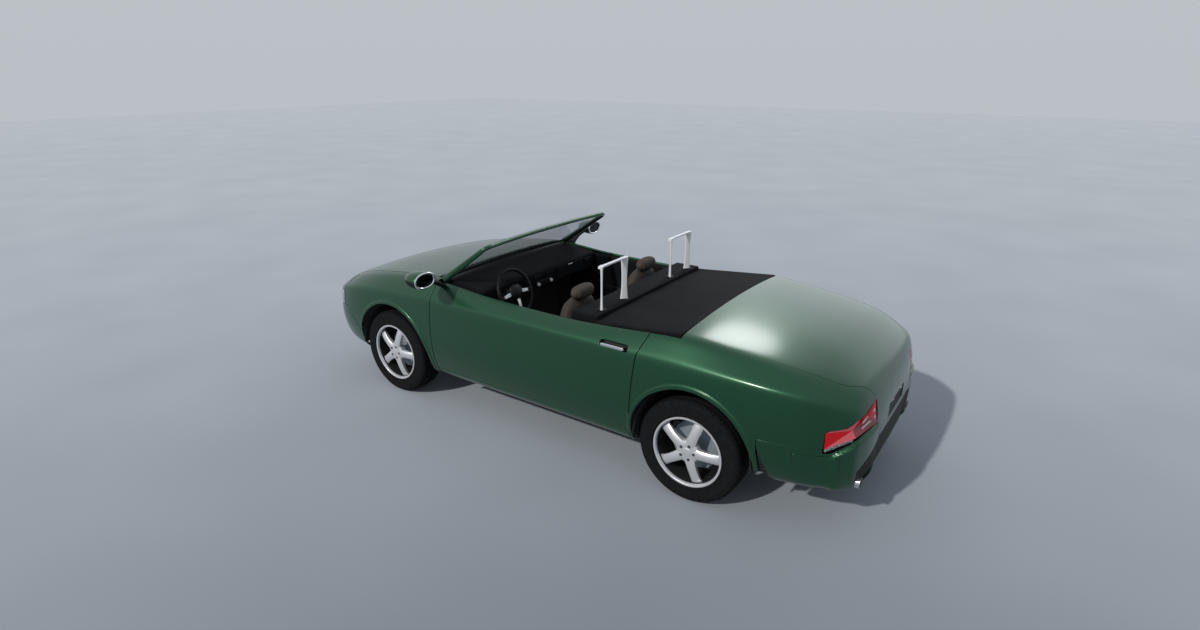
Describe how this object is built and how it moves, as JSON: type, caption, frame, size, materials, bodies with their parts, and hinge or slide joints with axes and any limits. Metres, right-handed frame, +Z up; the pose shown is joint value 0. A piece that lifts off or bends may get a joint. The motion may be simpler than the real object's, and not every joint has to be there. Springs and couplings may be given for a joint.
{
  "type": "convertible car",
  "caption": "Open two-plus-two convertible with raked windscreen, roll hoops, flat top cover, opening doors, bonnet and boot, and steered wheels",
  "frame": {"origin": "on the ground under the middle of the overall length and width", "axes": "+X forward, +Y to the left of the car, +Z up"},
  "size_m": [4.484, 2.22, 1.34],
  "materials": {
    "paint": "deep green metallic paint under clear lacquer",
    "black_trim": "grained black moulding",
    "black_vinyl": "black grained vinyl on a rigid cover panel",
    "seat_trim": "taupe upholstery",
    "silver": "silver lacquered alloy",
    "tyre": "moulded rubber",
    "steel": "bare and phosphated steel",
    "iron": "cast iron, dull",
    "chrome": "polished",
    "clear_glass": "clear laminated glass",
    "clear_lens": "clear moulded lens",
    "red_lens": "red moulded lens",
    "plate": "plain blank plate",
    "underseal": "black underbody coating"
  },
  "bodies": {
    "shell": {"wing_left": "paint", "wing_right": "paint", "quarter_left": "paint", "quarter_right": "paint", "front_bumper": "paint", "rear_bumper": "paint", "sills": "paint", "windscreen_frame": "paint", "floor_pan": "underseal", "underframe": "underseal", "arch_liners": "black_trim", "cowl_panel": "black_trim", "grille": "black_trim", "rear_insert": "black_trim", "dashboard": "black_trim", "centre_console": "black_trim", "steering_wheel": "black_trim", "tonneau_cover": "black_vinyl", "seat_left": "seat_trim", "seat_right": "seat_trim", "headlamps": "clear_lens", "tail_lamps": "red_lens", "windscreen_glass": "clear_glass", "engine_block": "iron", "exhaust": "steel", "roll_hoops": "silver", "number_plate_front": "plate"},
    "bonnet_body": {"bonnet": "paint"},
    "boot_body": {"boot_lid": "paint", "number_plate_rear": "plate"},
    "door_body_left": {"door_left": "paint", "door_trim_left": "black_trim", "door_mirror_left": "black_trim", "door_handle_left": "chrome"},
    "steering_body_left": {"knuckle_left": "iron"},
    "wheel_front_left": {"tyre_front_left": "tyre", "rim_front_left": "silver"},
    "wheel_rear_left": {"tyre_rear_left": "tyre", "rim_rear_left": "silver"},
    "door_body_right": {"door_right": "paint", "door_trim_right": "black_trim", "door_mirror_right": "black_trim", "door_handle_right": "chrome"},
    "steering_body_right": {"knuckle_right": "iron"},
    "wheel_front_right": {"tyre_front_right": "tyre", "rim_front_right": "silver"},
    "wheel_rear_right": {"tyre_rear_right": "tyre", "rim_rear_right": "silver"}
  },
  "joints": [
    {"name": "steer_left", "type": "hinge", "parent": "shell", "child": "steering_body_left", "pos_m": [1.365, 0.7, 0.34], "axis": [0, 0, 1], "range_deg": [-28, 28]},
    {"name": "door_left_hinge", "type": "hinge", "parent": "shell", "child": "door_body_left", "pos_m": [0.867, 0.873, 0.65], "axis": [0, 0, -1], "range_deg": [0, 60]},
    {"name": "spin_front_left", "type": "hinge", "parent": "steering_body_left", "child": "wheel_front_left", "pos_m": [1.365, 0.728, 0.34], "axis": [0, 1, 0], "continuous": true},
    {"name": "spin_rear_left", "type": "hinge", "parent": "shell", "child": "wheel_rear_left", "pos_m": [-1.275, 0.728, 0.34], "axis": [0, 1, 0], "continuous": true},
    {"name": "steer_right", "type": "hinge", "parent": "shell", "child": "steering_body_right", "pos_m": [1.365, -0.7, 0.34], "axis": [0, 0, 1], "range_deg": [-28, 28]},
    {"name": "door_right_hinge", "type": "hinge", "parent": "shell", "child": "door_body_right", "pos_m": [0.867, -0.873, 0.65], "axis": [0, 0, 1], "range_deg": [0, 60]},
    {"name": "spin_front_right", "type": "hinge", "parent": "steering_body_right", "child": "wheel_front_right", "pos_m": [1.365, -0.728, 0.34], "axis": [0, 1, 0], "continuous": true},
    {"name": "spin_rear_right", "type": "hinge", "parent": "shell", "child": "wheel_rear_right", "pos_m": [-1.275, -0.728, 0.34], "axis": [0, 1, 0], "continuous": true},
    {"name": "bonnet_hinge", "type": "hinge", "parent": "shell", "child": "bonnet_body", "pos_m": [0.911, 0, 1.052], "axis": [0, -1, 0], "range_deg": [0, 55]},
    {"name": "boot_hinge", "type": "hinge", "parent": "shell", "child": "boot_body", "pos_m": [-1.166, 0, 1.08], "axis": [0, 1, 0], "range_deg": [0, 65]}
  ],
  "couplings": [
    {"joint": "steer_right", "follows": "steer_left", "ratio": 1}
  ]
}
